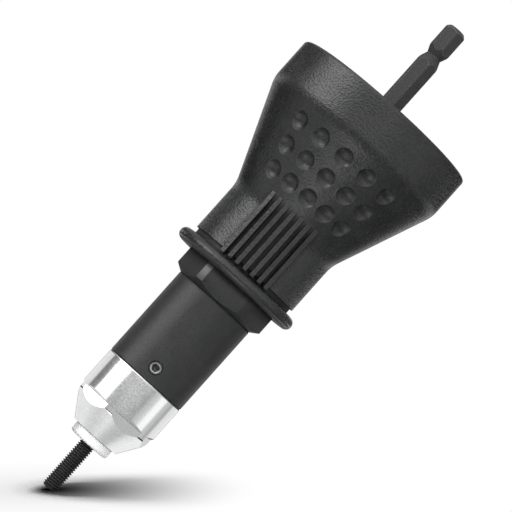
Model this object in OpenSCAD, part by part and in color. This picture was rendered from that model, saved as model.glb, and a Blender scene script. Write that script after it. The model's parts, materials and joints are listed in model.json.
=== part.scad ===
// Rivet nut tool: an adaptor that a drill turns by its hex shank.
// Millimetres. Origin at the centre of the anvil's front face, +Z along the tool towards the drill.

/* [Nose] */
// Thread diameter of the mandrel
mandrel_d = 5; // [4:0.5:6]
// How far the mandrel stands out of the anvil
mandrel_reach = 17; // [10:0.5:25]
// Diameter of the anvil's ring
anvil_d = 13.26; // [12:0.02:15]
// Length of the anvil's ring in front of the nose
anvil_len = 3.1; // [2:0.1:5]
// Diameter of the nose at the front of its cone
nose_tip_d = 15.8; // [15:0.1:19]
// Diameter of the nose behind its cone
nose_d = 26.5; // [25:0.1:28]
// Length of the nose that shows in front of the barrel
nose_len = 21.8; // [20:0.1:28]
// Half angle of the nose cone
nose_angle = 33.5; // [28:0.1:40]
// Across the wrench flats of the nose
nose_af = 24.2; // [22:0.1:25]
// Length of the wrench flats from the front of the nose
nose_flat_len = 9.7; // [8:0.1:12]

/* [Barrel and lock nut] */
// Outer diameter of the barrel
barrel_d = 26.5; // [25:0.1:28]
// Length of the barrel
barrel_len = 29.9; // [27:0.1:36]
// Thread that carries the nose, the barrel and the lock nut
core_thread_d = 22; // [21:0.1:23]
// Length of the nose's threaded spigot inside the barrel
spigot_len = 8.1; // [7:0.1:9]
// Diameter of the grub screw
grub_d = 4.2; // [3:0.1:5]
// Grub screw's distance from the front of the barrel
grub_inset = 4.4; // [3:0.1:6]
// Across the flats of the lock nut
nut_af = 28.3; // [27:0.1:30]
// Diameter that the lock nut's corners are turned to
nut_corner_d = 31.4; // [30:0.1:33]
// Length of the lock nut
nut_len = 7.2; // [6:0.1:9]

/* [Handle] */
// Diameter of the guard flange
flange_d = 42.6; // [40:0.1:48]
// Thickness of the guard flange
flange_len = 3.9; // [3:0.1:5]
// Diameter of the neck
neck_d = 36.7; // [35:0.1:39]
// From the front of the handle to the corner where the flare starts
neck_len = 22.7; // [21:0.1:28]
// Half angle of the flare
flare_angle = 22; // [19:0.5:26]
// Diameter of the bell
bell_d = 61.1; // [58:0.1:66]
// Length of the handle
bell_len = 66.7; // [64:0.1:76]
// Wall of the bell
bell_wall = 3; // [2:0.1:4]
// Ribs on each face of the neck
rib_count = 7; // [3:2:9]
// Width of a rib
rib_w = 1.3; // [0.8:0.1:2]
// Height of a rib above the neck
rib_h = 1.7; // [0.8:0.1:2]
// Diameter of a thumb dimple
dimple_d = 5.8; // [4:0.1:7]
// Depth of a thumb dimple
dimple_depth = 1.3; // [0.6:0.1:1.5]
// Dimples in a row across each face
dimple_columns = 5; // [3:2:5]
// Rows of dimples along the flare
dimple_rows = 3; // [1:1:3]

/* [Drive] */
// Across the flats of the drive shank
shank_af = 6.35; // [6:0.05:8]
// How far the shank stands out behind the bell
shank_reach = 31.6; // [25:0.1:40]
// Travel of the mandrel
stroke = 8; // [5:0.5:10]
// Diameter of the pull rod's screw
rod_d = 8; // [7:0.1:8.5]
// Inner diameter of both bearings
bearing_bore_d = 10; // [9.8:0.1:10.4]
// Balls in each bearing
ball_count = 10; // [6:1:11]

/* [Fits] */
// Radial play of a thread or journal that turns
run_fit = 0.06; // [0.03:0.01:0.1]
// Radial play of a piece that stays in its seat
seat_fit = 0.02; // [0.01:0.01:0.05]
// Space between pieces that pass each other
pass_gap = 0.3; // [0.2:0.05:0.4]

/* [Hidden] */
$fn = 96;

// Small overrun that keeps cuts clear of the faces they pass
over = 1;

// Stations along the outside, front to back
nose_z = anvil_len;
barrel_z = nose_z + nose_len;
nut_z = barrel_z + barrel_len;
handle_z = nut_z + nut_len;
rim_z = handle_z + bell_len;
shank_end_z = rim_z + shank_reach;

// Front end: anvil, mandrel and the holder that pulls it
anvil_thread_d = 10;
anvil_thread_len = 5.9;
anvil_edge_r = 0.8;
mandrel_tip = 0.7;
mandrel_relief = 0.25;
mandrel_neck_d = mandrel_d - 2 * mandrel_relief;
mandrel_play = 0.15;
holder_step = 1.5;
head_af = mandrel_d + 2 * holder_step;
head_len = 5;
cap_d = head_af + 2 * holder_step;
cap_len = 2.7;
holder_d = cap_d + 2 * holder_step;
holder_len = 16.5;
holder_front_gap = 1.5;
nose_wall_z = nose_z + anvil_thread_len;
holder_z = nose_wall_z + holder_front_gap;
head_z = holder_z + cap_len;
holder_end_z = holder_z + holder_len;
nose_turn_angle = -8.5;
nose_blend_r = 1;
flat_runout_angle = 33;

// Barrel and lock nut edges
edge_r = 0.4;
grub_len = 3.2;
grub_sunk = 0.7;
grub_socket_af = 2;
grub_socket_depth = 1.8;
nut_chamfer_len = (nut_corner_d - barrel_d) * 0.33;

// Core tube: front wall behind the holder's travel, then the thrust bearing
wall_len = 4;
stroke_spare = 1;
wall_z = holder_end_z + stroke + stroke_spare;
thrust_z = wall_z + wall_len;
thrust_h = 5.5;
thrust_ring_w = 4;
thrust_d = bearing_bore_d + 2 * thrust_ring_w;
washer_h = 1.7;
drive_z = thrust_z + thrust_h;
core_bore_d = thrust_d;

// Drive nut, clutch and the spindle's cup
drive_play = 0.2;
drive_d = core_bore_d - 2 * drive_play;
drive_len = 14.5;
joint_z = drive_z + drive_len;
joint_len = 6;
cup_wall = 1.4;
cup_bore_d = drive_d - 2 * cup_wall;
joint_end_z = joint_z + joint_len;
pin_d = 2;
pin_z = joint_z + joint_len / 2;
clutch_len = 2;
clutch_gap = 0.1;
clutch_z = joint_end_z + clutch_gap;
clutch_end_z = clutch_z + clutch_len;
clutch_d = cup_bore_d - 2 * pass_gap;
flat_cut = 0.8;
rod_flat = rod_d - 2 * flat_cut;
rod_groove_depth = 1;
rod_groove_d = rod_d - 2 * rod_groove_depth;
stop_z = clutch_end_z + clutch_gap;
stop_len = 1.2;
stop_w = 1.6;
stop_d = rod_d + 2 * stop_w;
rod_tail = 1;
rod_end_z = stop_z + stop_len + rod_tail;
flat_z = clutch_z - stroke - stroke_spare;
cup_spare = 1.5;
cup_floor_z = rod_end_z + stroke + cup_spare;
cup_floor_len = 4;
cup_end_z = cup_floor_z + cup_floor_len;
spring_wire_d = 1.2;
spring_play = 0.2;
spring_d = cup_bore_d - 2 * spring_play - spring_wire_d;
spring_turns = 5;

// Core tube's body and flange, on the floor of the bell
core_step = 2;
core_body_d = core_thread_d + 2 * core_step;
core_flange_d = 37.2;
core_flange_len = 3;
flange_margin = 1.46;
neck_r = neck_d / 2;
bell_r = bell_d / 2;
slope = tan(flare_angle);
wall_across = bell_wall / cos(flare_angle);
floor_len = neck_len + (core_flange_d / 2 + flange_margin + wall_across - neck_r) / slope;
floor_z = handle_z + floor_len;

// Handle details
recess_len = 1.8;
recess_depth = 0.8;
rib_gap = 0.7;
flare_fillet_r = 12;
bell_blend_r = 10;
rim_r = 1;
corner_len = neck_len + (bell_r - neck_r) / slope;
inner_corner_len = neck_len + (bell_r - bell_wall - neck_r + wall_across) / slope;
rib_pitch = 8;
dimple_pitch = 17.7;
dimple_first = 8.9;
dimple_spacing = 7.5;

// Rear bearing in the end of the core tube
bearing_ring_w = 6;
bearing_d = bearing_bore_d + 2 * bearing_ring_w;
bearing_len = 6;
bearing_z = floor_z - bearing_len;
bearing_end_z = floor_z;
bearing_shoulder_h = 1.4;
bearing_shoulder_d = bearing_bore_d + 2 * bearing_shoulder_h;
race_wall = 1.9;
race_inner_d = bearing_bore_d + 2 * race_wall;
race_outer_d = bearing_d - 2 * race_wall;
race_d = (race_inner_d + race_outer_d) / 2;
bearing_ball_d = 3.2;
thrust_ball_d = 2.5;
thrust_race_d = (bearing_bore_d + thrust_d) / 2;
thrust_ball_z = thrust_z + thrust_h / 2;
ball_play = 0.03;
ring_len = 1;
ring_slot = 1.6;
ring_w = 1.2;
ring_groove_depth = 0.5;
ring_z = bearing_end_z + clutch_gap;
shield_len = 1;
shield_gap = 0.2;
shield_z = ring_z + ring_len + shield_gap;
journal_reach = 0.5;
journal_end_z = floor_z + core_flange_len + journal_reach;

// Screws that hold the core tube in the handle
screw_count = 3;
screw_d = 3;
screw_head_d = 5.5;
screw_head_len = 1.9;
screw_len = 11;
screw_inset = 0.25;
screw_circle_d = (core_body_d + core_flange_d) / 2 - 2 * screw_inset;
screw_socket_af = 2;

// Quick-change groove and head of the shank
shank_turn_angle = 38;
groove_d = 4.8;
groove_front_len = 13.4;
groove_low_len = 10.4;
groove_shoulder_len = 7.7;
shank_round_d = shank_af * 1.12;
shank_chamfer = 1.1;

// Points along an arc about (x, y)
function arc(x, y, r, from, to, steps = 8) =
    [for (i = [0 : steps]) let (a = from + (to - from) * i / steps) [x + r * cos(a), y + r * sin(a)]];

// Radius of the bell's straight flare at a length along the handle
function flare_radius(len) = neck_r + (len - neck_len) * slope;

module ring(outer_d, inner_d, len) {
    difference() {
        cylinder(d = outer_d, h = len);
        translate([0, 0, -over]) cylinder(d = inner_d, h = len + 2 * over);
    }
}

module hexagon(across, len) {
    cylinder(r = across / sqrt(3), h = len, $fn = 6);
}

// Retaining ring with its slot facing +X
module open_ring(outer_d, inner_d, len) {
    difference() {
        ring(outer_d, inner_d, len);
        translate([0, -ring_slot / 2, -over]) cube([outer_d, ring_slot, len + 2 * over]);
    }
}

// Round bar with two flats facing +Y and -Y
module flatted_bar(d, across, len) {
    intersection() {
        cylinder(d = d, h = len);
        translate([-d, -across / 2, -over]) cube([2 * d, across, len + 2 * over]);
    }
}

// Tube with a rounded outer edge at both ends
module edged_tube(outer_d, inner_d, len, r) {
    rotate_extrude()
        polygon(concat(
            [[inner_d / 2, 0]],
            arc(outer_d / 2 - r, r, r, -90, 0, 4),
            arc(outer_d / 2 - r, len - r, r, 0, 90, 4),
            [[inner_d / 2, len]]
        ));
}

module ball_ring(circle_d, ball_d) {
    for (i = [0 : ball_count - 1])
        rotate([0, 0, 360 * i / ball_count]) translate([circle_d / 2, 0, 0]) sphere(d = ball_d);
}

module race_groove(circle_d, ball_d) {
    rotate_extrude() translate([circle_d / 2, 0]) circle(d = ball_d);
}

module screw_places(z) {
    for (i = [0 : screw_count - 1])
        rotate([0, 0, 30 + 360 * i / screw_count]) translate([screw_circle_d / 2, 0, z]) children();
}

module handle_shell() {
    flange_r = flange_len / 2;
    fillet_start = neck_len - flare_fillet_r * tan(flare_angle / 2);
    blend_end = corner_len + bell_blend_r * tan(flare_angle / 2);
    rotate_extrude()
        polygon(concat(
            [[core_body_d / 2 + seat_fit, 0]],
            arc(flange_d / 2 - flange_r, flange_r, flange_r, -90, 90, 12),
            [[neck_r - recess_depth, flange_len]],
            [[neck_r - recess_depth, flange_len + recess_len]],
            [[neck_r, flange_len + recess_len]],
            arc(neck_r + flare_fillet_r, fillet_start, flare_fillet_r, 180, 180 - flare_angle),
            arc(bell_r - bell_blend_r, blend_end, bell_blend_r, -flare_angle, 0),
            arc(bell_r - rim_r, bell_len - rim_r, rim_r, 0, 90, 4),
            [[bell_r - bell_wall, bell_len]],
            [[bell_r - bell_wall, inner_corner_len]],
            [[flare_radius(floor_len) - wall_across, floor_len]],
            [[core_body_d / 2 + seat_fit, floor_len]]
        ));
}

// Ribs of one face, centred on +X
module neck_ribs() {
    rib_end = neck_len + rib_h / slope + over;
    for (i = [0 : rib_count - 1])
        rotate([0, 0, (i - (rib_count - 1) / 2) * rib_pitch])
            translate([neck_r - recess_depth - over, -rib_w / 2, flange_len + rib_gap])
                cube([rib_h + recess_depth + over, rib_w, rib_end - flange_len - rib_gap]);
}

// Thumb dimples of one face, centred on +X
module flare_dimples() {
    ball_r = (pow(dimple_d / 2, 2) + pow(dimple_depth, 2)) / (2 * dimple_depth);
    lift = ball_r - dimple_depth;
    for (row = [0 : dimple_rows - 1], i = [0 : dimple_columns - 1]) {
        len = neck_len + dimple_first + row * dimple_spacing;
        rotate([0, 0, (i - (dimple_columns - 1) / 2) * dimple_pitch])
            translate([flare_radius(len) + lift * cos(flare_angle), 0, len - lift * sin(flare_angle)])
                sphere(r = ball_r);
    }
}

module handle() {
    color("#26282b")
        difference() {
            translate([0, 0, handle_z])
                difference() {
                    union() {
                        handle_shell();
                        for (side = [-90, 90]) rotate([0, 0, side]) neck_ribs();
                    }
                    for (side = [-90, 90]) rotate([0, 0, side]) flare_dimples();
                }
            screw_places(floor_z + core_flange_len - screw_len - over)
                cylinder(d = screw_d + 2 * seat_fit, h = screw_len + over);
        }
}

module core_tube() {
    color("#3a3c40")
        difference() {
            union() {
                translate([0, 0, wall_z]) cylinder(d = core_thread_d, h = handle_z - wall_z);
                translate([0, 0, handle_z]) cylinder(d = core_body_d, h = floor_len);
                translate([0, 0, floor_z]) cylinder(d = core_flange_d, h = core_flange_len);
            }
            translate([0, 0, wall_z - over]) cylinder(d = rod_d + 2 * pass_gap, h = wall_len + 2 * over);
            translate([0, 0, thrust_z]) cylinder(d = core_bore_d, h = floor_z);
            translate([0, 0, bearing_z]) cylinder(d = bearing_d + 2 * seat_fit, h = floor_z);
            translate([0, 0, ring_z - seat_fit])
                cylinder(d = bearing_d + 2 * ring_groove_depth, h = ring_len + 2 * seat_fit);
            screw_places(floor_z - over)
                cylinder(d = screw_d + 2 * pass_gap, h = core_flange_len + 2 * over);
        }
}

module core_screws() {
    color("#1d1e20")
        screw_places(floor_z + core_flange_len)
            difference() {
                union() {
                    cylinder(d = screw_head_d, h = screw_head_len);
                    translate([0, 0, -screw_len]) cylinder(d = screw_d, h = screw_len);
                }
                translate([0, 0, screw_head_len / 2]) hexagon(screw_socket_af, screw_head_len);
            }
}

module lock_nut() {
    color("#2b2d30")
        translate([0, 0, nut_z])
            difference() {
                intersection() {
                    hexagon(nut_af, nut_len);
                    rotate_extrude()
                        polygon([
                            [0, 0],
                            [barrel_d / 2, 0],
                            [nut_corner_d / 2, nut_chamfer_len],
                            [nut_corner_d / 2, nut_len],
                            [0, nut_len]
                        ]);
                }
                translate([0, 0, -over]) cylinder(d = core_thread_d + 2 * run_fit, h = nut_len + 2 * over);
            }
}

// Radial hole on the face towards -Y, from the axis outwards
module grub_place(from_r, d, len) {
    translate([0, -from_r, barrel_z + grub_inset]) rotate([90, 0, 0]) cylinder(d = d, h = len);
}

grub_end_r = barrel_d / 2 - grub_sunk;
grub_start_r = grub_end_r - grub_len;

module barrel() {
    color("#2b2d30")
        difference() {
            translate([0, 0, barrel_z])
                edged_tube(barrel_d, core_thread_d + 2 * run_fit, barrel_len, edge_r);
            grub_place(grub_start_r, grub_d + 2 * seat_fit, barrel_d);
        }
}

module grub_screw() {
    color("#b9bcc0")
        difference() {
            grub_place(grub_start_r, grub_d, grub_len);
            translate([0, -grub_end_r + grub_socket_depth, barrel_z + grub_inset])
                rotate([90, 0, 0]) hexagon(grub_socket_af, grub_socket_depth + over);
        }
}

// Cut for one wrench flat facing +X, with a slanted end where the cutter ran out
module wrench_flat() {
    flat_end_z = nose_z + nose_flat_len;
    reach = nose_d - nose_af / 2;
    rotate([90, 0, 0])
        translate([0, 0, -nose_d])
            linear_extrude(2 * nose_d)
                polygon([
                    [nose_af / 2, nose_z - over],
                    [nose_d, nose_z - over],
                    [nose_d, flat_end_z + reach * tan(flat_runout_angle)],
                    [nose_af / 2, flat_end_z]
                ]);
}

module nose_sleeve() {
    corner_z = nose_z + (nose_d - nose_tip_d) / 2 / tan(nose_angle);
    blend_z = corner_z + nose_blend_r * tan(nose_angle / 2);
    color("#c6c9cd")
        difference() {
            rotate_extrude()
                polygon(concat(
                    [[anvil_thread_d / 2 + seat_fit, nose_z]],
                    [[nose_tip_d / 2, nose_z]],
                    arc(nose_d / 2 - nose_blend_r, blend_z, nose_blend_r, -nose_angle, 0),
                    arc(nose_d / 2 - edge_r, barrel_z - edge_r, edge_r, 0, 90, 4),
                    [[core_thread_d / 2, barrel_z]],
                    [[core_thread_d / 2, barrel_z + spigot_len]],
                    [[holder_d / 2 + pass_gap, barrel_z + spigot_len]],
                    [[holder_d / 2 + pass_gap, nose_wall_z]],
                    [[anvil_thread_d / 2 + seat_fit, nose_wall_z]]
                ));
            for (i = [0 : 5]) rotate([0, 0, nose_turn_angle + 60 * i]) wrench_flat();
            grub_place(grub_start_r, grub_d + 2 * seat_fit, barrel_d);
        }
}

module anvil() {
    bore_r = mandrel_d / 2 + mandrel_play;
    color("#d4d6d9")
        rotate_extrude()
            polygon(concat(
                [[bore_r, 0]],
                arc(anvil_d / 2 - anvil_edge_r, anvil_edge_r, anvil_edge_r, -90, 0, 4),
                [[anvil_d / 2, nose_z]],
                [[anvil_thread_d / 2, nose_z]],
                [[anvil_thread_d / 2, nose_wall_z]],
                [[bore_r, nose_wall_z]]
            ));
}

module mandrel() {
    color("#1f2022") {
        rotate_extrude()
            polygon([
                [0, -mandrel_reach],
                [mandrel_d / 2 - mandrel_tip, -mandrel_reach],
                [mandrel_d / 2, mandrel_tip - mandrel_reach],
                [mandrel_d / 2, 0],
                [mandrel_neck_d / 2, 0],
                [mandrel_neck_d / 2, head_z],
                [0, head_z]
            ]);
        translate([0, 0, head_z]) hexagon(head_af, head_len);
    }
}

module mandrel_cap() {
    color("#8f9296")
        translate([0, 0, holder_z]) ring(cap_d, mandrel_d + 2 * mandrel_play, cap_len);
}

module pull_rod() {
    color("#a6a9ad")
        difference() {
            union() {
                translate([0, 0, holder_z]) cylinder(d = holder_d, h = holder_len);
                translate([0, 0, holder_end_z]) cylinder(d = rod_d, h = flat_z - holder_end_z);
                translate([0, 0, flat_z]) flatted_bar(rod_d, rod_flat, rod_end_z - flat_z);
            }
            translate([0, 0, holder_z - over]) cylinder(d = cap_d + 2 * seat_fit, h = cap_len + over);
            translate([0, 0, head_z - over]) hexagon(head_af + 2 * seat_fit, head_len + over);
            translate([0, 0, stop_z]) ring(rod_d + 2 * over, rod_groove_d, stop_len);
        }
}

module stop_ring() {
    color("#55585c")
        translate([0, 0, stop_z + seat_fit])
            open_ring(stop_d, rod_groove_d + 2 * seat_fit, stop_len - 2 * seat_fit);
}

module clutch_ring() {
    color("#b08d57")
        translate([0, 0, clutch_z])
            difference() {
                cylinder(d = clutch_d, h = clutch_len);
                translate([0, 0, -over])
                    flatted_bar(rod_d + 4 * run_fit, rod_flat + 4 * run_fit, clutch_len + 2 * over);
            }
}

module clutch_spring() {
    sides = 8;
    turn_steps = 24;
    steps = spring_turns * turn_steps;
    wire_r = spring_wire_d / 2;
    from_z = clutch_end_z + wire_r + seat_fit;
    to_z = cup_floor_z - wire_r - seat_fit;
    points = [
        for (i = [0 : steps], k = [0 : sides - 1])
            let (turn = 360 * i / turn_steps, side = 360 * k / sides)
            let (r = spring_d / 2 + wire_r * cos(side))
            [r * cos(turn), r * sin(turn), from_z + (to_z - from_z) * i / steps + wire_r * sin(side)]
    ];
    walls = [
        for (i = [0 : steps - 1], k = [0 : sides - 1])
            let (next = (k + 1) % sides)
            [i * sides + k, i * sides + next, (i + 1) * sides + next, (i + 1) * sides + k]
    ];
    first_end = [[for (k = [sides - 1 : -1 : 0]) k]];
    last_end = [[for (k = [0 : sides - 1]) steps * sides + k]];
    color("#8a8d91")
        polyhedron(points = points, faces = concat(walls, first_end, last_end), convexity = 10);
}

module drive_nut() {
    color("#b5894a")
        difference() {
            union() {
                translate([0, 0, thrust_z + pass_gap])
                    cylinder(d = bearing_bore_d, h = thrust_h - pass_gap);
                translate([0, 0, drive_z]) cylinder(d = drive_d, h = drive_len);
                translate([0, 0, joint_z]) cylinder(d = cup_bore_d - 2 * seat_fit, h = joint_len);
            }
            translate([0, 0, thrust_z - over]) cylinder(d = rod_d + 2 * run_fit, h = joint_end_z);
            pin_holes();
        }
}

// Cross pins between the drive nut and the spindle's cup
pin_inset = 1;
pin_start_r = rod_d / 2 + pin_inset;
pin_len = drive_d / 2 - pin_start_r - seat_fit;

module pin_holes() {
    for (side = [0, 180])
        rotate([0, 0, side]) translate([pin_start_r - seat_fit, 0, pin_z])
            rotate([0, 90, 0]) cylinder(d = pin_d + 2 * seat_fit, h = drive_d);
}

module drive_pins() {
    color("#77797d")
        for (side = [0, 180])
            rotate([0, 0, side]) translate([pin_start_r, 0, pin_z])
                rotate([0, 90, 0]) cylinder(d = pin_d, h = pin_len);
}

// Hexagon with the quick-change groove turned in it
module shank() {
    difference() {
        intersection() {
            translate([0, 0, cup_end_z])
                rotate([0, 0, shank_turn_angle]) hexagon(shank_af, shank_end_z - cup_end_z);
            rotate_extrude()
                polygon([
                    [0, cup_end_z],
                    [shank_round_d / 2, cup_end_z],
                    [shank_round_d / 2, shank_end_z - shank_chamfer],
                    [shank_round_d / 2 - shank_chamfer, shank_end_z],
                    [0, shank_end_z]
                ]);
        }
        rotate_extrude()
            polygon([
                [shank_round_d / 2, shank_end_z - groove_front_len],
                [groove_d / 2, shank_end_z - groove_low_len],
                [shank_round_d / 2, shank_end_z - groove_shoulder_len],
                [shank_round_d, shank_end_z - groove_shoulder_len],
                [shank_round_d, shank_end_z - groove_front_len]
            ]);
    }
}

module spindle() {
    journal_d = bearing_bore_d - 2 * seat_fit;
    color("#303235")
        difference() {
            union() {
                translate([0, 0, joint_z]) cylinder(d = drive_d, h = cup_end_z - joint_z);
                translate([0, 0, cup_end_z]) cylinder(d = bearing_shoulder_d, h = bearing_z - cup_end_z);
                translate([0, 0, bearing_z]) cylinder(d = journal_d, h = journal_end_z - bearing_z);
                shank();
            }
            translate([0, 0, joint_z - over]) cylinder(d = cup_bore_d, h = cup_floor_z - joint_z + over);
            pin_holes();
            translate([0, 0, ring_z - seat_fit])
                ring(
                    bearing_bore_d + 2 * over,
                    bearing_bore_d - 2 * ring_groove_depth,
                    ring_len + 2 * seat_fit
                );
        }
}

module spindle_circlip() {
    inner_d = bearing_bore_d - 2 * ring_groove_depth + 2 * seat_fit;
    color("#55585c")
        translate([0, 0, ring_z]) open_ring(bearing_bore_d + 2 * ring_w, inner_d, ring_len);
}

module thrust_washer(z, inner_d, outer_d) {
    difference() {
        translate([0, 0, z]) ring(outer_d, inner_d, washer_h);
        translate([0, 0, thrust_ball_z]) race_groove(thrust_race_d, thrust_ball_d + 2 * ball_play);
    }
}

module thrust_washer_front() {
    color("#b9bcc0")
        thrust_washer(thrust_z, bearing_bore_d + 2 * pass_gap, core_bore_d - 2 * seat_fit);
}

module thrust_washer_rear() {
    color("#b9bcc0")
        thrust_washer(drive_z - washer_h, bearing_bore_d + 2 * seat_fit, drive_d - 2 * pass_gap);
}

module thrust_cage() {
    cage_h = 1;
    color("#c2a05c")
        difference() {
            translate([0, 0, thrust_ball_z - cage_h / 2])
                ring(core_bore_d - 3 * pass_gap, bearing_bore_d + 3 * pass_gap, cage_h);
            translate([0, 0, thrust_ball_z]) ball_ring(thrust_race_d, thrust_ball_d + 2 * ball_play);
        }
}

module thrust_balls() {
    color("#d4d6d9")
        translate([0, 0, thrust_ball_z]) ball_ring(thrust_race_d, thrust_ball_d);
}

module bearing_ring(outer_d, inner_d) {
    difference() {
        translate([0, 0, bearing_z]) ring(outer_d, inner_d, bearing_len);
        translate([0, 0, bearing_z + bearing_len / 2])
            race_groove(race_d, bearing_ball_d + 2 * ball_play);
    }
}

module bearing_inner_ring() {
    color("#b9bcc0") bearing_ring(race_inner_d, bearing_bore_d);
}

module bearing_outer_ring() {
    color("#b9bcc0") bearing_ring(bearing_d, race_outer_d);
}

// Crown cage: a ring in front of the balls, with open pockets around them
module bearing_cage() {
    cage_wall = 0.7;
    crown_h = 0.5;
    ring_h = bearing_ball_d / 2 + cage_wall;
    color("#c2a05c")
        translate([0, 0, bearing_z + bearing_len / 2])
            difference() {
                translate([0, 0, -ring_h])
                    ring(race_d + 2 * cage_wall, race_d - 2 * cage_wall, ring_h + crown_h);
                ball_ring(race_d, bearing_ball_d + 2 * ball_play);
            }
}

module bearing_balls() {
    color("#d4d6d9")
        translate([0, 0, bearing_z + bearing_len / 2]) ball_ring(race_d, bearing_ball_d);
}

module bearing_circlip() {
    outer_d = bearing_d + 2 * ring_groove_depth - 2 * seat_fit;
    color("#55585c")
        translate([0, 0, ring_z]) open_ring(outer_d, bearing_d - 2 * ring_w, ring_len);
}

module bearing_shield() {
    color("#1d1e20")
        translate([0, 0, shield_z])
            ring(bearing_d, bearing_bore_d + 2 * pass_gap, shield_len);
}

handle();
core_tube();
core_screws();
lock_nut();
barrel();
grub_screw();
nose_sleeve();
anvil();
mandrel();
mandrel_cap();
pull_rod();
stop_ring();
clutch_ring();
clutch_spring();
drive_nut();
drive_pins();
spindle();
spindle_circlip();
thrust_washer_front();
thrust_washer_rear();
thrust_cage();
thrust_balls();
bearing_inner_ring();
bearing_outer_ring();
bearing_cage();
bearing_balls();
bearing_circlip();
bearing_shield();
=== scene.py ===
# %% [markdown]
# # A rivet nut tool, dressed for its photograph
# The tool is an adaptor that a drill turns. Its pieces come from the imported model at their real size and
# place. This lesson gives them their finishes, cuts the screw threads, softens the hard edges, and sets up
# the studio. Everything is in metres, with +Z along the tool's axis from the nose to the drill.

# %% Load the frame
import bpy
import json
import math
from mathutils import Matrix, Vector


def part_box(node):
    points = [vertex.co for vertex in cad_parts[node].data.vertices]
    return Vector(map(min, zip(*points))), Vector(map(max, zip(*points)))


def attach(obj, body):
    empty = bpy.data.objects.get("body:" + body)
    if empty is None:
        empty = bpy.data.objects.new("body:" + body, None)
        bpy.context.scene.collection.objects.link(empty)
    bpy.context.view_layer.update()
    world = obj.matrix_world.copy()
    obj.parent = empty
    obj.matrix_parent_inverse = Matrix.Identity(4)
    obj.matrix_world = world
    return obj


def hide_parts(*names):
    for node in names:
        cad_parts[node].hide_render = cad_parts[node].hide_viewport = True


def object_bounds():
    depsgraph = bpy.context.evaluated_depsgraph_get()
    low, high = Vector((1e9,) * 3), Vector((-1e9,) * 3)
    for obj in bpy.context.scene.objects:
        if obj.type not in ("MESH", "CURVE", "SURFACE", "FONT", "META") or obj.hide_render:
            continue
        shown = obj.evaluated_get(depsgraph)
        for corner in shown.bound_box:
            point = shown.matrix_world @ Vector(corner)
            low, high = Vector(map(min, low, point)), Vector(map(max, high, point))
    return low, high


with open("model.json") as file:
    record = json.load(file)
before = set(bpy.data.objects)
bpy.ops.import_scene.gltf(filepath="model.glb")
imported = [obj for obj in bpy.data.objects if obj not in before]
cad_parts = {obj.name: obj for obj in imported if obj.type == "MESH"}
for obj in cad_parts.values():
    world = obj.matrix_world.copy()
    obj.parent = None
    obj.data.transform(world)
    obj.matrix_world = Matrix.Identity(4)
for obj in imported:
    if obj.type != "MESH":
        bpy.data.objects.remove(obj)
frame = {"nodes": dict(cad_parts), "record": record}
nodes = frame["nodes"]
cad_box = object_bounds()
mm = 0.001
print("CAD box", [tuple(round(v / mm, 2) for v in corner) for corner in cad_box])

# %% [markdown]
# ## Camera
# The photograph leans the tool to the right, but the model stands upright along Z. Instead of turning the
# model, the camera is rolled. Its matrix is built from three directions: right, up and back. The lens is
# long, because the outlines in the photograph are almost parallel.

# %% Roll the camera to the photograph's angle
lean = math.radians(41.78)
target = Vector((0.05, 0, 72.6)) * mm
camera_distance = 950 * mm
look_up_angle = math.radians(2.27)
sensor_width, focal_length = 36, 231.5

forward = Vector((0, math.cos(look_up_angle), math.sin(look_up_angle)))
axis_in_view = Vector((0, -math.sin(look_up_angle), math.cos(look_up_angle)))
side_in_view = Vector((1, 0, 0))
view_right = side_in_view * math.cos(lean) + axis_in_view * math.sin(lean)
view_up = axis_in_view * math.cos(lean) - side_in_view * math.sin(lean)

camera_data = bpy.data.cameras.new("photo_camera")
camera_data.sensor_width = sensor_width
camera_data.lens = focal_length
camera = bpy.data.objects.new("photo_camera", camera_data)
bpy.context.scene.collection.objects.link(camera)
turn = Matrix((view_right, view_up, -forward)).transposed().to_4x4()
camera.matrix_world = Matrix.Translation(target - forward * camera_distance) @ turn
bpy.context.scene.camera = camera
bpy.context.scene.view_settings.view_transform = "Standard"
print("camera at", tuple(round(v, 3) for v in camera.location))

# %% [markdown]
# ## Node helpers
# Every finish and light below is a small node tree. These helpers add a node, set its sockets and wire it
# up, so that each tree can be read as a list of what it does.

# %% Helpers that add one node
def add_node(tree, kind, **sockets):
    """Adds a node and sets the sockets that are named. Spaces in a socket's name are written as _."""
    node = tree.nodes.new(kind)
    for name, value in sockets.items():
        node.inputs[name.replace("_", " ")].default_value = value
    return node


def grey(level):
    return (level, level, level, 1)


def math_node(tree, operation, *values):
    """The result of a Math node on up to three values, each a socket or a number."""
    node = tree.nodes.new("ShaderNodeMath")
    node.operation = operation
    for socket, value in zip(node.inputs, values):
        if isinstance(value, (int, float)):
            socket.default_value = value
        else:
            tree.links.new(value, socket)
    return node.outputs[0]


def vector_value(tree, operation, *vectors):
    """The number that a Vector Math node makes of vectors, each a socket or a fixed Vector."""
    node = tree.nodes.new("ShaderNodeVectorMath")
    node.operation = operation
    for socket, vector in zip(node.inputs, vectors):
        if isinstance(vector, Vector):
            socket.default_value = vector
        else:
            tree.links.new(vector, socket)
    return node.outputs["Value"]


print("helpers for sums ready")

# %% [markdown]
# Four more helpers blend things: a value moved from one range to another, a ramp of colours, two colours
# mixed by a share, and two shaders mixed the same way. A share of 0 gives the first of the two, and 1 the
# second.

# %% Helpers that blend
def range_node(tree, value, start, end, low=0.0, high=1.0, smooth=False):
    """Moves a value from start..end to low..high."""
    node = add_node(tree, "ShaderNodeMapRange", From_Min=start, From_Max=end, To_Min=low, To_Max=high)
    if smooth:
        node.interpolation_type = "SMOOTHSTEP"
    tree.links.new(value, node.inputs["Value"])
    return node.outputs["Result"]


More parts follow.
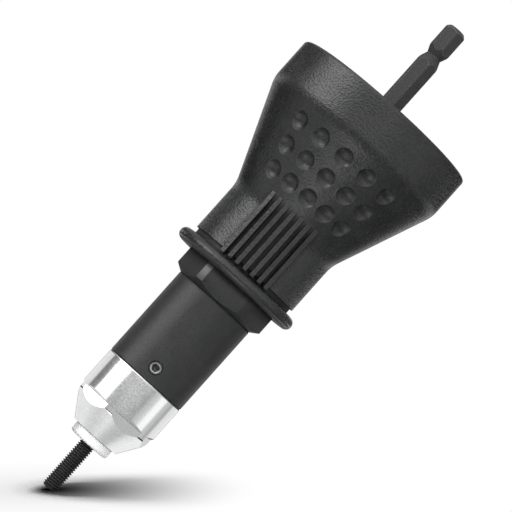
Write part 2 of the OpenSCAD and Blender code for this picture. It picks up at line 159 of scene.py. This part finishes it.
def ramp_node(tree, factor, stops):
    """A ColorRamp whose stops are given as (place, colour)."""
    node = tree.nodes.new("ShaderNodeValToRGB")
    elements = node.color_ramp.elements
    elements[0].position, elements[1].position = stops[0][0], stops[-1][0]
    elements[0].color, elements[1].color = stops[0][1], stops[-1][1]
    for place, colour in stops[1:-1]:
        elements.new(place).color = colour
    tree.links.new(factor, node.inputs["Fac"])
    return node.outputs["Color"]


def mix_colours(tree, share, first, second):
    """Mixes two colours, each a socket or a fixed colour."""
    mix = tree.nodes.new("ShaderNodeMixRGB")
    tree.links.new(share, mix.inputs["Fac"])
    for name, colour in (("Color1", first), ("Color2", second)):
        if isinstance(colour, tuple):
            mix.inputs[name].default_value = colour
        else:
            tree.links.new(colour, mix.inputs[name])
    return mix.outputs["Color"]


def mix_shaders(tree, share, first, second):
    mix = tree.nodes.new("ShaderNodeMixShader")
    tree.links.new(share, mix.inputs["Fac"])
    tree.links.new(first.outputs[0], mix.inputs[1])
    tree.links.new(second.outputs[0], mix.inputs[2])
    return mix


print("helpers for blends ready")

# %% [markdown]
# ## The studio's surroundings
# A bright plated nose shows what is around it. The photograph was made in a white tent with a grey opening
# around the camera and dark gaps beside the panels. Real panels could stand round the tool as glowing
# planes, but here the world paints them, because a list of angles is easier to move. Each panel is given by
# its angle round the tool's axis, in degrees with 0 towards the camera, and by its brightness.

# %% List the panels round the nose and above
side_panels = [
    (-180, 0.3), (-168, 0.35), (-160, 0.9), (-118, 0.85), (-112, 0.22), (-88, 0.22), (-82, 2.2), (-50, 2.2),
    (-38, 0.44), (0, 0.48), (38, 0.42), (44, 0.62), (52, 0.7), (60, 0.85), (67, 1.25), (82, 1.25), (88, 0.7),
    (99, 0.65), (104, 0.5), (111, 0.5), (117, 0.9), (160, 0.95), (168, 0.35), (180, 0.3),
]
nose_panels = [
    (-180, 0.2), (-172, 0.3), (-164, 0.92), (-103, 0.88), (-83, 0.76), (-60, 0.71), (-36, 0.78), (0, 0.85),
    (36, 0.64), (60, 0.56), (83, 0.58), (103, 0.88), (125, 0.98), (164, 0.95), (172, 0.3), (180, 0.2),
]
shoulder_panels = [(-180, 0.2), (180, 0.2)]
roof_panels = [
    (-180, 0.3), (-110, 0.6), (-90, 1.6), (-40, 1.6), (0, 1.0), (60, 0.5), (110, 0.1), (180, 0.3),
]
nose_lists = (side_panels, nose_panels, shoulder_panels, roof_panels)
print("stops round the nose and above", [len(panels) for panels in nose_lists])

# %% [markdown]
# The handle is black, and shows the tent only as dim streaks. In the photograph one streak runs down its
# left side, and its edges are almost black, so beside the handle the tent is bright at the left and dark
# behind.

# %% List the panels round the handle
handle_panels = [
    (-180, 1.0), (-171, 0.7), (-160, 0.04), (-118, 0.08), (-102, 0.4), (-90, 2.0), (-82, 5.6), (-52, 5.6),
    (-42, 1.8), (-25, 1.3), (0, 1.7), (30, 1.1), (41, 0.55), (60, 0.55), (80, 0.4), (98, 0.04), (160, 0.04),
    (171, 0.7), (180, 1.0),
]
belt_panels = [
    (-180, 0.4), (-172, 0.2), (-162, 0.05), (-112, 0.05), (-100, 0.3), (-85, 0.4), (-60, 0.3), (0, 0.15),
    (60, 0.05), (112, 0.02), (132, 0.02), (144, 0.15), (160, 0.2), (171, 0.25), (180, 0.4),
]
flare_panels = [
    (-180, 0.4), (-172, 0.2), (-162, 0.05), (-125, 0.03), (-112, 0.05), (-100, 0.5), (-85, 0.85), (-50, 0.8),
    (-30, 1.0), (-15, 1.8), (0, 3.0), (12, 1.6), (30, 0.4), (50, 0.5), (60, 0.1), (112, 0.02), (132, 0.02),
    (144, 0.15), (160, 0.2), (171, 0.25), (180, 0.4),
]
print("stops round the handle", [len(panels) for panels in (handle_panels, belt_panels, flare_panels)])

# %% [markdown]
# A world shader gets the direction of each ray. Three things are measured from it: the angle round the
# axis, the height, and the lean of the surface that mirrors this direction to the photograph's camera. That
# surface faces half way between the two directions, and its lean is the same all over a cone, so each cone
# of the tool can be given panels of its own.

# %% Measure a direction
never_zero = 0.001

world = bpy.data.worlds.new("white_tent")
bpy.context.scene.world = world
world.use_nodes = True
tree = world.node_tree
tree.nodes.clear()
direction = add_node(tree, "ShaderNodeTexCoord").outputs["Generated"]
parts = add_node(tree, "ShaderNodeSeparateXYZ")
tree.links.new(direction, parts.inputs[0])
toward_camera = math_node(tree, "MULTIPLY", parts.outputs["Y"], -1)
angle = math_node(tree, "ARCTAN2", parts.outputs["X"], toward_camera)
turn_share = math_node(tree, "MULTIPLY_ADD", angle, 1 / (2 * math.pi), 0.5)
height = parts.outputs["Z"]
to_front = math_node(tree, "SUBTRACT", 1, parts.outputs["Y"])
half_way = math_node(tree, "SQRT", math_node(tree, "MULTIPLY", to_front, 2))
surface_lean = math_node(tree, "DIVIDE", height, math_node(tree, "MAXIMUM", half_way, never_zero))
print("a direction is measured by", len(tree.nodes), "nodes")

# %% [markdown]
# The panels at the nose's level come first, and the other layers are laid over them one by one. Each layer
# fades in as the height or the lean goes from one limit to the other: the handle and the roof upwards, and
# the belt, the handle's flare, the nose's cone and the shoulders of its wrench flats downwards.

# %% Lay the tent's layers over each other
layers = [
    (handle_panels, height, 0.0, 0.05),
    (roof_panels, height, 0.22, 0.4),
    (belt_panels, height, -0.055, -0.09),
    (flare_panels, surface_lean, -0.26, -0.32),
    (nose_panels, surface_lean, -0.485, -0.505),
    (shoulder_panels, surface_lean, -0.6, -0.65),
]


def panels_round(levels):
    return ramp_node(tree, turn_share, [(place / 360 + 0.5, grey(level)) for place, level in levels])


tent = panels_round(side_panels)
for panels, measure, start, end in layers:
    share = range_node(tree, measure, start, end, smooth=True)
    tent = mix_colours(tree, share, tent, panels_round(panels))
print("tent has", 1 + len(layers), "layers")

# %% [markdown]
# Dull surfaces don't show the tent's panels, only how much light comes from each side. They get six soft
# lights, so that the tool can be read from all round. The one in front stands a little to the left and
# above, as in the photograph. A light is brightest at its centre and fades to its rim, which is given as
# the cosine of the angle from the centre.

# %% Light the dull surfaces from six sides
fill_lights = {
    "front": ((-0.15, -0.93, 0.33), 0.7, 3.4),
    "back": ((0.15, 0.93, 0.25), 0.6, 3.5),
    "right": ((0.9, 0.4, 0.15), 0.75, 1.6),
    "left": ((-0.9, 0.4, 0.15), 0.75, 1.6),
    "above": ((0, 0, 1), 0.75, 3.5),
    "below": ((0, 0.3, -0.95), 0.75, 1.5),
}
fill_levels = []
for toward, rim, level in fill_lights.values():
    facing = vector_value(tree, "DOT_PRODUCT", direction, Vector(toward).normalized())
    fill_levels.append(range_node(tree, facing, rim, 1.0, high=level))
fill = fill_levels[0]
for lobe in fill_levels[1:]:
    fill = math_node(tree, "ADD", fill, lobe)
print("fill light from", ", ".join(fill_lights))

# %% [markdown]
# The Light Path node says what kind of ray is asking. A mirror ray gets the tent, a dull one the six
# lights, and the camera plain white, as in the photograph. The world is sampled only by the rays that the
# surfaces send out, because these three answers differ and a light map could hold only one of them.

# %% Give each kind of ray its surroundings
dull_light = add_node(tree, "ShaderNodeBackground", Color=grey(1))
tree.links.new(fill, dull_light.inputs["Strength"])
mirror_light = add_node(tree, "ShaderNodeBackground", Strength=1)
tree.links.new(tent, mirror_light.inputs["Color"])
backdrop = add_node(tree, "ShaderNodeBackground", Color=grey(1), Strength=1)
rays = add_node(tree, "ShaderNodeLightPath").outputs
surroundings = mix_shaders(tree, rays["Is Glossy Ray"], dull_light, mirror_light)
seen = math_node(tree, "MAXIMUM", rays["Is Camera Ray"], rays["Is Transmission Ray"])
chosen = mix_shaders(tree, seen, surroundings, backdrop)
world_output = add_node(tree, "ShaderNodeOutputWorld")
tree.links.new(chosen.outputs[0], world_output.inputs["Surface"])
world.cycles.sampling_method = "NONE"
print("world has", len(tree.nodes), "nodes")

# %% [markdown]
# ## Floor
# In the photograph the tool stands on the tip of its mandrel and leans over a white floor. The model stands
# upright, so the floor leans instead. It throws no light back, because the underside of the handle is
# almost black in the photograph.

# %% Lay the floor under the mandrel's tip
tip = Vector((0, 0, cad_box[0].z))
floor_size = 6
floor_slope = math.radians(6.6)
floor_drop = 0.4 * mm
picture_up = Vector((-math.sin(lean), 0, math.cos(lean)))

bpy.ops.object.select_all(action="DESELECT")
bpy.ops.mesh.primitive_plane_add(size=floor_size)
floor = bpy.context.object
floor.name = "floor"
floor_normal = picture_up * math.cos(floor_slope) + Vector((0, -1, 0)) * math.sin(floor_slope)
floor_turn = floor_normal.to_track_quat("Z", "Y").to_matrix().to_4x4()
floor.matrix_world = Matrix.Translation(tip - floor_normal * floor_drop) @ floor_turn
floor.visible_diffuse = False
floor.visible_glossy = False
print("floor under the tip at z", round(tip.z / mm, 2), "mm")

# %% [markdown]
# The photograph's shadow is dark round the tip and soon fades out. A plain floor would carry the shadow of
# the whole tool, so this one turns to glowing white away from the tip. Close to the tip it is dimmed by
# ambient occlusion as well, which measures how much of the space above a point is blocked.

# %% Shade the floor near the tip
floor_grey = 0.05
shadow_reach = (0, 62 * mm)
contact_reach = 25 * mm
contact_samples, contact_power = 8, 4

paint = bpy.data.materials.new("white_floor")
paint.use_nodes = True
tree = paint.node_tree
tree.nodes.clear()
place = add_node(tree, "ShaderNodeTexCoord").outputs["Object"]
far_share = range_node(tree, vector_value(tree, "LENGTH", place), *shadow_reach, smooth=True)
contact = add_node(tree, "ShaderNodeAmbientOcclusion", Distance=contact_reach)
contact.samples = contact_samples
contact_light = math_node(tree, "POWER", contact.outputs["AO"], contact_power)
lit = add_node(tree, "ShaderNodeBsdfDiffuse")
tree.links.new(math_node(tree, "MULTIPLY", contact_light, floor_grey), lit.inputs["Color"])
print("shadow fades from", shadow_reach[0] / mm, "to", shadow_reach[1] / mm, "mm")

# %% [markdown]
# The white glow is only for rays that look at the floor, and adds no light to the tool. From below, the
# floor is clear, so that views from there aren't blocked.

# %% Let it glow white further out
rays = add_node(tree, "ShaderNodeLightPath").outputs
seen = math_node(tree, "MAXIMUM", rays["Is Camera Ray"], rays["Is Glossy Ray"])
seen = math_node(tree, "MAXIMUM", seen, rays["Is Transmission Ray"])
seen_far = math_node(tree, "MULTIPLY", seen, far_share)
glow = add_node(tree, "ShaderNodeEmission", Color=grey(1), Strength=1)
from_above = mix_shaders(tree, seen_far, lit, glow)
back_face = add_node(tree, "ShaderNodeNewGeometry").outputs["Backfacing"]
under = math_node(tree, "MULTIPLY", rays["Is Camera Ray"], back_face)
both_sides = mix_shaders(tree, under, from_above, add_node(tree, "ShaderNodeBsdfTransparent"))
output = add_node(tree, "ShaderNodeOutputMaterial")
tree.links.new(both_sides.outputs[0], output.inputs["Surface"])
floor.data.materials.append(paint)
print("floor paint has", len(tree.nodes), "nodes")

# %% [markdown]
# ## Lamps
# The shadow needs a lamp. It hangs over the tool, a little to the right, so that the shadow starts at the
# tip. Light linking keeps it to the floor, because the tool already has its light from the world.

# %% Hang a lamp for the shadow
def disk_lamp(name, aim, toward, distance, size, power):
    """A round lamp that shines at the point aim from the direction toward."""
    lamp_data = bpy.data.lights.new(name, "AREA")
    lamp_data.shape = "DISK"
    lamp_data.size = size
    lamp_data.energy = power
    lamp = bpy.data.objects.new(name, lamp_data)
    bpy.context.scene.collection.objects.link(lamp)
    lamp_turn = toward.to_track_quat("Z", "Y").to_matrix().to_4x4()
    lamp.matrix_world = Matrix.Translation(aim + toward * distance) @ lamp_turn
    print(name, "at", tuple(round(v, 3) for v in lamp.location))
    return lamp


picture_right = Vector((math.cos(lean), 0, math.sin(lean)))
lamp_to_right = 0.4
lamp_toward = (picture_up + picture_right * lamp_to_right).normalized()
overhead_lamp = disk_lamp("overhead_lamp", target, lamp_toward, distance=0.9, size=0.16, power=170)
floor_only = bpy.data.collections.new("floor_only")
floor_only.objects.link(floor)
overhead_lamp.light_linking.receiver_collection = floor_only

# %% [markdown]
# A small lamp stands in front of the tip. The anvil is blasted and dull, and without it the ring would be
# greyer than the plated nose behind it. The lamp is close, so its light falls off before it reaches the
# barrel.

# %% Add a small lamp in front of the tip
anvil_face = Vector((0, 0, 0))
tip_lamp_toward = Vector((0.35, -0.92, 0.18)).normalized()
tip_lamp = disk_lamp("tip_lamp", anvil_face, tip_lamp_toward, distance=0.15, size=0.05, power=0.13)
tip_lamp.visible_glossy = False
tip_lamp.visible_camera = False

# %% [markdown]
# ## Finishes
# A finish starts from one Principled shader. Noise in Object coordinates breaks up its colour and
# roughness, and a bump of the right scale gives it grain: moulded plastic has an even grain, turned steel
# has lines round its axis, and plated steel a faint waviness. A Bevel node rounds the sharp edges of the
# solids in the shading. Where its normal leaves the true one there is an edge, and handling has worn it
# paler.

# %% Noise and worn edges
def noise_node(tree, vector, size, detail=3.0, stretch=(1, 1, 1)):
    """Noise whose blobs are about size across, in metres."""
    mapping = add_node(tree, "ShaderNodeMapping", Scale=[s / size for s in stretch])
    tree.links.new(vector, mapping.inputs["Vector"])
    noise = add_node(tree, "ShaderNodeTexNoise", Scale=1, Detail=detail, Roughness=0.6)
    tree.links.new(mapping.outputs["Vector"], noise.inputs["Vector"])
    return noise.outputs["Fac"]


def edge_wear(tree, rounded, patches):
    """How much of the coat is gone: 0 away from edges, up to 1 on them, broken up by patches."""
    flat_agreement, worn_agreement = 0.995, 0.9
    true_normal = add_node(tree, "ShaderNodeNewGeometry").outputs["Normal"]
    agreement = vector_value(tree, "DOT_PRODUCT", rounded, true_normal)
    edge = range_node(tree, agreement, flat_agreement, worn_agreement)
    return math_node(tree, "MULTIPLY", edge, patches)


print("noise and wear ready")

# %% [markdown]
# Grooves, gaps and corners get little light, so their shade is painted into the colour: almost black between
# the handle's ribs. Ambient occlusion finds such crevices, and there the colour is painted dark and the
# surface dull.

# %% Painted shade in crevices
def openness_of(tree, depth):
    """1 where the surface is open, near 0 in gaps narrower than about depth."""
    openness = add_node(tree, "ShaderNodeAmbientOcclusion", Distance=depth)
    openness.samples = 4
    return math_node(tree, "POWER", openness.outputs["AO"], 2)


def shaded_or_dulled_in_crevices(tree, open_value, openness, crevice_value):
    """The open value where the surface is open, turning to the crevice value in crevices: painted shade for a
    colour, more roughness for a roughness.
    """
    return mix_colours(tree, openness, grey(crevice_value), open_value)


print("crevices ready")

# %% [markdown]
# Now the pieces are put together. Fine grain and larger blotches make one pattern, the shade. It picks the
# colour and the roughness, so that both change together, as they do on a real surface.

# %% A finish from one shader
shade_range = (0.3, 0.7)
grain_weight, blotch_weight = 0.6, 0.4
# Painted shade: crevices turn near black in colour, and rough.
crevice_shade_colour, crevice_roughness = 0.002, 0.9


def finish(name, dark, light, worn, metallic, rough, grain_size, grain_height,
           stretch=(1, 1, 1), blotch=6 * mm, edge_radius=0.2 * mm, specular=0.5, crevice=1.5 * mm):
    """A material: colour from dark to light and worn on edges, roughness between two values, bumped grain."""
    material = bpy.data.materials.new(name)
    material.use_nodes = True
    tree = material.node_tree
    shader = tree.nodes["Principled BSDF"]
    shader.inputs["Metallic"].default_value = metallic
    shader.inputs["Specular IOR Level"].default_value = specular
    vector = add_node(tree, "ShaderNodeTexCoord").outputs["Object"]
    grain = noise_node(tree, vector, grain_size, 2.0, stretch)
    blotches = noise_node(tree, vector, blotch)
    blotch_part = math_node(tree, "MULTIPLY", blotches, blotch_weight)
    shade = math_node(tree, "MULTIPLY_ADD", grain, grain_weight, blotch_part)
    bevel = add_node(tree, "ShaderNodeBevel", Radius=edge_radius)
    bevel.samples = 4
    rounded = bevel.outputs["Normal"]
    openness = openness_of(tree, crevice)
    colour = ramp_node(tree, shade, [(shade_range[0], (*dark, 1)), (shade_range[1], (*light, 1))])
    coat = mix_colours(tree, edge_wear(tree, rounded, blotches), colour, (*worn, 1))
    # Painted shade: the base colour goes near black where ambient occlusion finds a crevice.
    tree.links.new(shaded_or_dulled_in_crevices(tree, coat, openness, crevice_shade_colour), shader.inputs["Base Color"])
    dullness = range_node(tree, shade, *shade_range, *rough)
    tree.links.new(shaded_or_dulled_in_crevices(tree, dullness, openness, crevice_roughness), shader.inputs["Roughness"])
    bump = add_node(tree, "ShaderNodeBump", Strength=1.0, Distance=grain_height)
    tree.links.new(grain, bump.inputs["Height"])
    tree.links.new(rounded, bump.inputs["Normal"])
    tree.links.new(bump.outputs["Normal"], shader.inputs["Normal"])
    return material


print("finish maker ready")

# %% [markdown]
# The record names eight materials. The handle is moulded black plastic, and the barrel and the nut are
# steel with a black oxide coat. The mandrel's coat is oiled, the nose is plated, and the rest is inside:
# turned steel, spring steel, bronze and a rubber seal. All come from the same maker, with colours,
# roughness and grain of their own.

# %% The finishes, by the record's slots
turned = (0.15, 0.15, 1)
finishes = {
    "handle_plastic": finish(
        "grained_plastic", (0.014, 0.0145, 0.015), (0.032, 0.0325, 0.033), (0.09, 0.09, 0.09), 0, (0.08, 0.3),
        0.65 * mm, 0.16 * mm, specular=0.45, crevice=2.2 * mm),
    "black_steel": finish(
        "black_oxide", (0.011, 0.0113, 0.0116), (0.027, 0.0274, 0.0278), (0.10, 0.10, 0.10), 0, (0.30, 0.46),
        0.45 * mm, 0.07 * mm, specular=0.45),
    "mandrel_steel": finish(
        "oiled_black_steel", (0.012, 0.012, 0.013), (0.034, 0.034, 0.036), (0.09, 0.09, 0.09), 0,
        (0.25, 0.42), 0.3 * mm, 0.01 * mm, edge_radius=0.06 * mm),
    "nose_chrome": finish(
        "bright_plating", (0.74, 0.745, 0.75), (0.97, 0.972, 0.975), (0.95, 0.95, 0.95), 1, (0.08, 0.18),
        0.6 * mm, 0.008 * mm, edge_radius=0.06 * mm, crevice=0.3 * mm),
    "bright_steel": finish(
        "turned_steel", (0.42, 0.425, 0.43), (0.62, 0.625, 0.63), (0.7, 0.7, 0.7), 1, (0.25, 0.4),
        0.12 * mm, 0.004 * mm, turned),
    "spring_steel": finish(
        "spring_steel", (0.2, 0.205, 0.21), (0.36, 0.365, 0.37), (0.45, 0.45, 0.45), 1, (0.3, 0.45),
        0.2 * mm, 0.004 * mm),
    "bronze": finish(
        "machined_bronze", (0.40, 0.26, 0.10), (0.60, 0.42, 0.19), (0.66, 0.48, 0.24), 1, (0.28, 0.42),
        0.12 * mm, 0.004 * mm, turned),
    "seal_rubber": finish(
        "seal_rubber", (0.012, 0.012, 0.012), (0.03, 0.03, 0.03), (0.04, 0.04, 0.04), 0, (0.6, 0.8),
        0.3 * mm, 0.02 * mm),
}
print("finishes:", ", ".join(finishes))

# %% [markdown]
# Each node of the model has a slot in the record, which says what it is made of. Looking the finish up by
# that slot paints all pieces in one loop, and no piece can be forgotten.

# %% Paint every node with the finish of its slot
slots = {part["node"]: part["material_slot"] for part in frame["record"]["subparts"]}


def coat_with(piece, material):
    piece.data.materials.clear()
    piece.data.materials.append(material)


for name, node in nodes.items():
    coat_with(node, finishes[slots[name]])
print("painted", len(nodes), "nodes")

# %% [markdown]
# ## The anvil
# The anvil is plated like the nose, but it is blasted where the rivet nut turns against it, so it shows no
# sharp bands. It takes the same slot with a duller and paler finish of its own.

# %% A blasted finish for the anvil
blasted = finish(
    "blasted_plating", (0.86, 0.862, 0.865), (0.97, 0.972, 0.975), (0.97, 0.97, 0.97), 0.3, (0.4, 0.55),
    0.3 * mm, 0.01 * mm, edge_radius=0.06 * mm, crevice=0.3 * mm)
coat_with(nodes["anvil"], blasted)
print("anvil finish", blasted.name)

# %% [markdown]
# ## The drive shank
# The spindle is drawn bar with a phosphate coat: a dark grey, and duller than the barrel, so its flats show
# little of the white panels.

# %% A phosphate finish for the spindle
# Its pale worn edges, (0.30, 0.30, 0.30), are partly wear and partly a painted highlight along the edges
# between the flats.
phosphate = finish(
    "phosphate_coat", (0.030, 0.0305, 0.031), (0.058, 0.0585, 0.059), (0.30, 0.30, 0.30), 0, (0.5, 0.65),
    0.35 * mm, 0.05 * mm, edge_radius=0.35 * mm, specular=0.3)
coat_with(nodes["spindle"], phosphate)
print("spindle finish", phosphate.name)

# %% [markdown]
# ## Copies to work on
# The nodes of the model stay as they are. A piece that needs a finer shape is worked on a copy, which then
# stands for its node: it moves with the same body and has the same slot. The solids come as loose
# triangles, so the copy's doubled points are merged and its flat faces joined first.

# %% A working copy of a node
merge_distance = 0.002 * mm
flat_angle = math.radians(0.2)


def select_only(piece):
    bpy.ops.object.select_all(action="DESELECT")
    piece.select_set(True)
    bpy.context.view_layer.objects.active = piece


def working_copy(node_name, piece_name):
    """A copy of a node with its loose triangles merged. The node itself is left as it is."""
    piece = bpy.data.objects.new(piece_name, nodes[node_name].data.copy())
    bpy.context.scene.collection.objects.link(piece)
    select_only(piece)
    bpy.ops.object.mode_set(mode="EDIT")
    bpy.ops.mesh.select_all(action="SELECT")
    bpy.ops.mesh.remove_doubles(threshold=merge_distance)
    bpy.ops.mesh.dissolve_limited(angle_limit=flat_angle)
    bpy.ops.object.mode_set(mode="OBJECT")
    if piece.data.has_custom_normals:
        bpy.ops.mesh.customdata_custom_splitnormals_clear()
    return piece


def apply_modifiers(piece):
    select_only(piece)
    for modifier in list(piece.modifiers):
        bpy.ops.object.modifier_apply(modifier=modifier.name)


print("copy helpers ready")

# %% [markdown]
# When the copy is finished, it takes the node's place. Faces that meet at a small angle are shaded as one
# smooth surface, and sharper edges stay sharp.

# %% Let a copy stand for its node
bodies = frame["record"]["behaviour"]["bodies"]
node_body = {name: body for body, names in bodies.items() for name in names}
smooth_angle = math.radians(35)


def stand_in(piece, node_name):
    """Lets the piece stand for the node: same body, slot and finish."""
    select_only(piece)
    bpy.ops.object.shade_smooth_by_angle(angle=smooth_angle)
    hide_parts(node_name)
    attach(piece, node_body[node_name])
    coat_with(piece, finishes[slots[node_name]])
    print(piece.name, "has", len(piece.data.polygons), "faces")


# %% [markdown]
# ## Screw threads
# The solids carry plain cylinders where the real tool has threads. A thread could be bumped into the
# shading, but its teeth would be missing from the outline. Here a small wedge is swept along a helix with
# the Screw modifier, and a Boolean cuts it out of a copy of the solid, as a die would. The wedge starts as
# a square whose inner edge is made narrow.

# %% The wedge
def thread_wedge(radius, pitch, start_z):
    """The outline of a 60 degree thread's gap, upright beside the axis, for a rod of this radius."""
    depth, clear, root_flat = 0.61 * pitch, 0.06 * pitch, 0.125 * pitch
    width = root_flat + 2 * (depth + clear) * math.tan(math.radians(30))
    root = radius - depth
    bpy.ops.object.select_all(action="DESELECT")
    bpy.ops.mesh.primitive_plane_add(size=1, rotation=(math.pi / 2, 0, 0))
    wedge = bpy.context.object
    bpy.ops.object.transform_apply(location=True, rotation=True, scale=True)
    bpy.ops.object.mode_set(mode="EDIT")
    bpy.ops.mesh.select_all(action="SELECT")
    bpy.ops.transform.resize(value=(depth + clear, 1, width), center_override=(0, 0, 0))
    bpy.ops.transform.translate(value=(root + (depth + clear) / 2, 0, start_z))
    bpy.ops.mesh.delete(type="ONLY_FACE")
    bpy.ops.object.mode_set(mode="OBJECT")
    for vertex in wedge.data.vertices:
        vertex.select = vertex.co.x < radius - depth / 2
    for edge in wedge.data.edges:
        edge.select = all(wedge.data.vertices[i].select for i in edge.vertices)
    bpy.ops.object.mode_set(mode="EDIT")
    bpy.ops.transform.resize(value=(1, 1, root_flat / width), center_override=(root, 0, start_z))
    bpy.ops.object.mode_set(mode="OBJECT")
    return wedge


print("wedge maker ready")

# %% [markdown]
# The Screw modifier turns the wedge round Z and lifts it by one pitch each turn. Its two ends are then
# closed and all faces turned outwards, because the Boolean needs a closed body.

# %% Sweep the wedge and cut with it
def thread_cutter(radius, pitch, start_z, turns, steps):
    """A closed wedge along a right-hand helix."""
    cutter = thread_wedge(radius, pitch, start_z)
    helix = cutter.modifiers.new("helix", "SCREW")
    helix.axis = "Z"
    helix.angle = 2 * math.pi
    helix.screw_offset = pitch
    helix.iterations = turns
    helix.steps = steps
    helix.render_steps = steps
    apply_modifiers(cutter)
    bpy.ops.object.mode_set(mode="EDIT")
    bpy.ops.mesh.select_all(action="SELECT")
    bpy.ops.mesh.fill_holes(sides=4)
    bpy.ops.mesh.select_all(action="SELECT")
    bpy.ops.mesh.normals_make_consistent(inside=False)
    bpy.ops.object.mode_set(mode="OBJECT")
    print("cutter from z", round(start_z / mm, 2), "mm,", turns, "turns,", len(cutter.data.polygons), "faces")
    return cutter


def cut_thread(piece, cutter):
    cut = piece.modifiers.new("thread", "BOOLEAN")
    cut.operation = "DIFFERENCE"
    cut.object = cutter
    cut.solver = "EXACT"
    apply_modifiers(piece)
    bpy.data.objects.remove(cutter)


print("thread cutters ready")

# %% [markdown]
# The mandrel is an M5 screw with a pitch of 0.8 mm. The rivet nut is screwed on it, and the pull of the
# tool comes through it. The helix starts half a pitch below the tip, so that the thread runs out at its
# end.

# %% Cut the mandrel's thread
mandrel_radius, mandrel_pitch = 2.5 * mm, 0.8 * mm
mandrel_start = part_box("mandrel")[0].z - 0.5 * mandrel_pitch

threaded_mandrel = working_copy("mandrel", "threaded_mandrel")
cut_thread(threaded_mandrel, thread_cutter(mandrel_radius, mandrel_pitch, mandrel_start, turns=22, steps=36))
stand_in(threaded_mandrel, "mandrel")

# %% [markdown]
# The core tube carries the barrel and the lock nut on a fine thread with a pitch of 1 mm. It shows when the
# barrel is screwed forward.

# %% Cut the core tube's thread
core_radius, core_pitch = 11 * mm, 1.0 * mm
core_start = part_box("core_tube")[0].z - 0.6 * core_pitch

threaded_core = working_copy("core_tube", "threaded_core_tube")
cut_thread(threaded_core, thread_cutter(core_radius, core_pitch, core_start, turns=26, steps=72))
stand_in(threaded_core, "core_tube")

# %% [markdown]
# ## Softened edges
# The lock nut and the grub screw are small turned pieces with broken edges that catch the light. A Bevel
# modifier on a merged copy rounds every sharp edge at once, which is quicker and more even than picking
# them.

# %% Break the edges of the lock nut and the grub screw
def break_edges(node_name, piece_name, width, sharp_angle):
    """A copy of the node whose edges sharper than an angle in degrees are rounded."""
    piece = working_copy(node_name, piece_name)
    bevel = piece.modifiers.new("broken_edges", "BEVEL")
    bevel.width = width
    bevel.segments = 2
    bevel.limit_method = "ANGLE"
    bevel.angle_limit = math.radians(sharp_angle)
    apply_modifiers(piece)
    stand_in(piece, node_name)
    return piece


nut = break_edges("lock_nut", "broken_lock_nut", width=0.22 * mm, sharp_angle=14)
break_edges("grub_screw", "broken_grub_screw", width=0.35 * mm, sharp_angle=40)

# %% [markdown]
# The nut's corners are turned down to a cylinder. The strip on the left shines a little and the one on the
# right doesn't, so only the corners on that side get a paler oxide: a painted highlight. They are picked by
# how far they stand from the axis.

# %% Paint a highlight on one side of the nut's corners
corner_band = 0.12 * mm
upright_limit = 0.2

# Painted highlight: a paler oxide for the corners on the left side only.
painted_corner_highlight = finish(
    "painted_corner_highlight_oxide", (0.045, 0.0455, 0.046), (0.1, 0.1005, 0.101), (0.16, 0.16, 0.16), 0, (0.28, 0.4),
    0.3 * mm, 0.02 * mm)
nut.data.materials.append(painted_corner_highlight)
radii = [vertex.co.xy.length for vertex in nut.data.vertices]
corner_radius = max(radii)
for face in nut.data.polygons:
    near_corner = min(radii[i] for i in face.vertices) > corner_radius - corner_band
    upright = abs(face.normal.z) < upright_limit
    if near_corner and upright and face.center.x < 0:
        face.material_index = 1
print("painted_corner_highlight", sum(face.material_index for face in nut.data.polygons), "faces of the nut")
